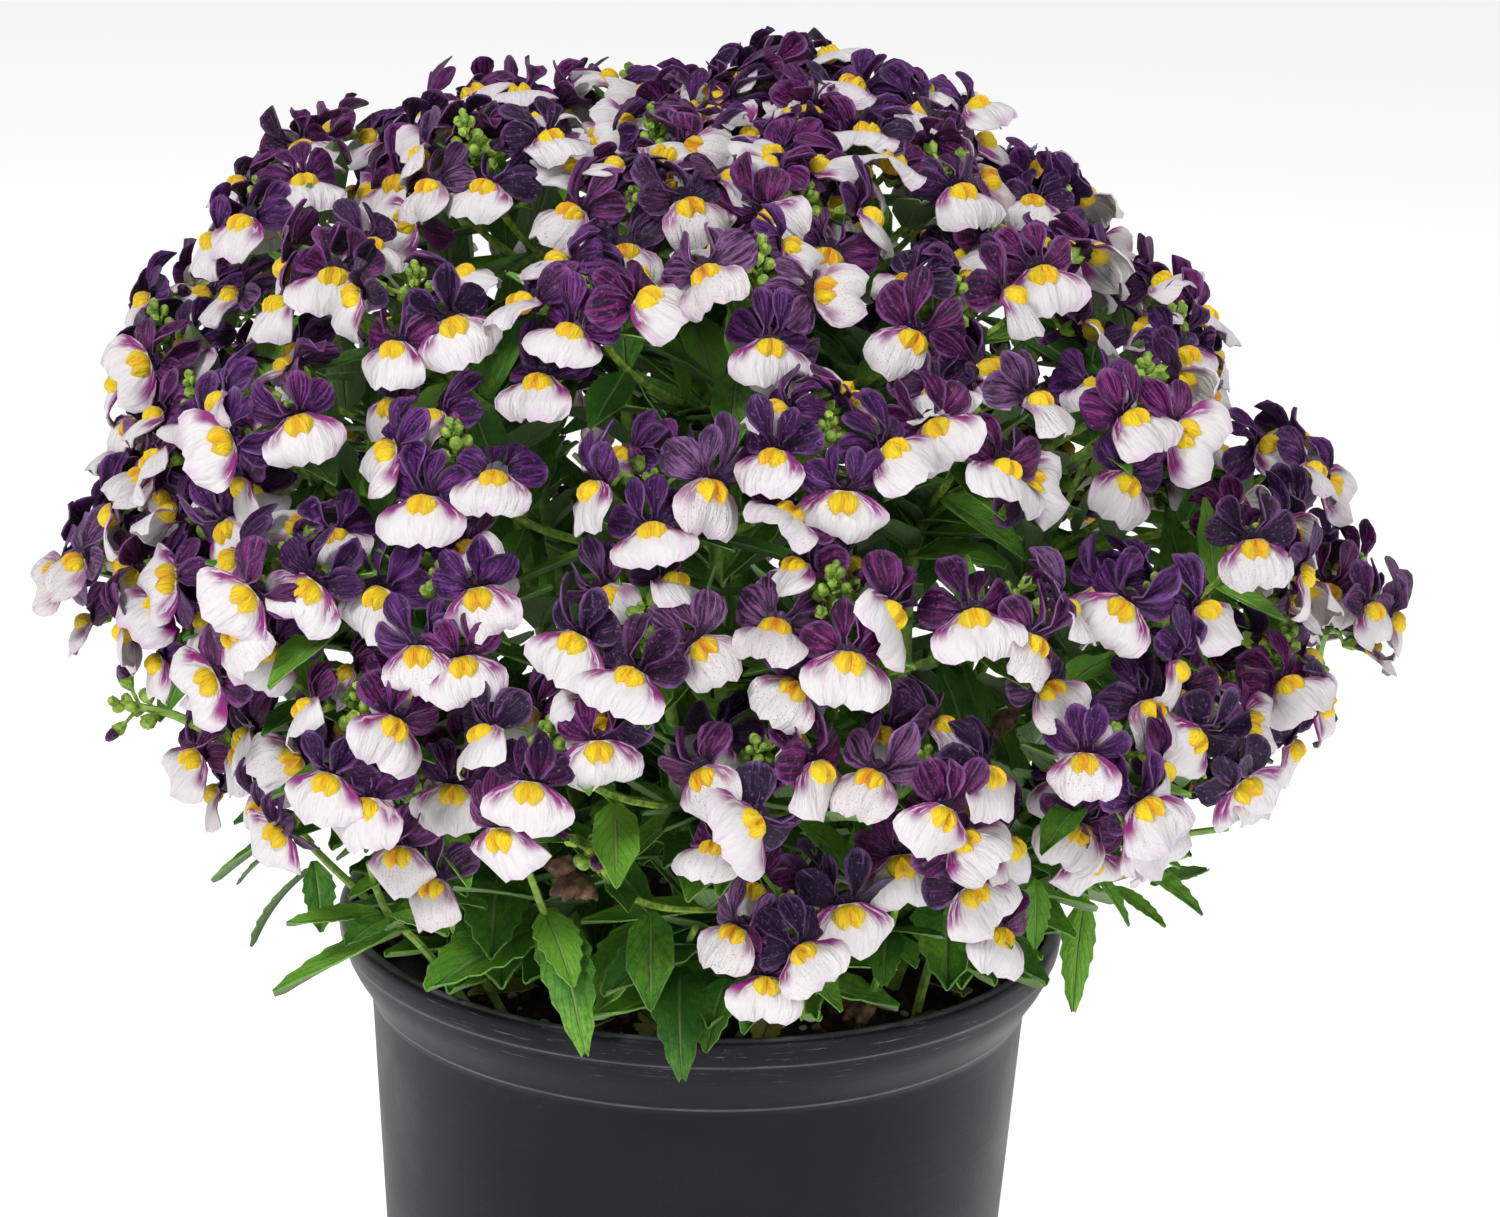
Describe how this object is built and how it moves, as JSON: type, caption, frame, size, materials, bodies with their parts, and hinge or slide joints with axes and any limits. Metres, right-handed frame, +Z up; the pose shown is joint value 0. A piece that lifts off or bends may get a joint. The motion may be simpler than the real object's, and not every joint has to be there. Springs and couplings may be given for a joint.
{
  "type": "potted nemesia",
  "caption": "Nursery pot of soil with a rounded mound of branching leafy stems and heads of two-lipped purple and white flowers.",
  "frame": {"origin": "middle of the underside of the pot, on the surface it stands on", "axes": "+Z up, -Y towards the viewer of the picture, +X to the viewer's right"},
  "size_m": [0.3128, 0.2966, 0.3618],
  "materials": {
    "pot_plastic": "black moulded plastic with a soft grey sheen",
    "potting_soil": "dark moist peat with white perlite crumbs",
    "greenery": "soft mid-green leaves and pale green stems",
    "petals": "velvety violet upper lips and white lower lips with yellow palates"
  },
  "bodies": {
    "root": {"leafy_stem_1": "greenery", "leafy_stem_10": "greenery", "leafy_stem_11": "greenery", "leafy_stem_12": "greenery", "leafy_stem_13": "greenery", "leafy_stem_14": "greenery", "leafy_stem_15": "greenery", "leafy_stem_16": "greenery", "leafy_stem_17": "greenery", "leafy_stem_18": "greenery", "leafy_stem_19": "greenery", "leafy_stem_2": "greenery", "leafy_stem_20": "greenery", "leafy_stem_21": "greenery", "leafy_stem_22": "greenery", "leafy_stem_3": "greenery", "leafy_stem_4": "greenery", "leafy_stem_5": "greenery", "leafy_stem_6": "greenery", "leafy_stem_7": "greenery", "leafy_stem_8": "greenery", "leafy_stem_9": "greenery", "pot": "pot_plastic", "soil": "potting_soil", "spray_1_1": "petals", "spray_1_2": "petals", "spray_1_3": "petals", "spray_1_4": "petals", "spray_1_5": "petals", "spray_1_6": "petals", "spray_2_1": "petals", "spray_2_2": "petals", "spray_2_3": "petals", "spray_2_4": "petals", "spray_2_5": "petals", "spray_2_6": "petals", "spray_2_7": "petals", "spray_3_1": "petals", "spray_3_2": "petals", "spray_3_3": "petals", "spray_3_4": "petals", "spray_3_5": "petals", "spray_3_6": "petals", "spray_3_7": "petals", "spray_4_1": "petals", "spray_4_2": "petals", "spray_4_3": "petals", "spray_4_4": "petals", "spray_4_5": "petals", "spray_4_6": "petals", "spray_5_1": "petals", "spray_5_2": "petals", "spray_5_3": "petals", "spray_5_4": "petals", "spray_5_5": "petals", "spray_6_1": "petals", "spray_6_2": "petals", "spray_6_3": "petals", "spray_7_1": "petals"}
  },
  "joints": []
}
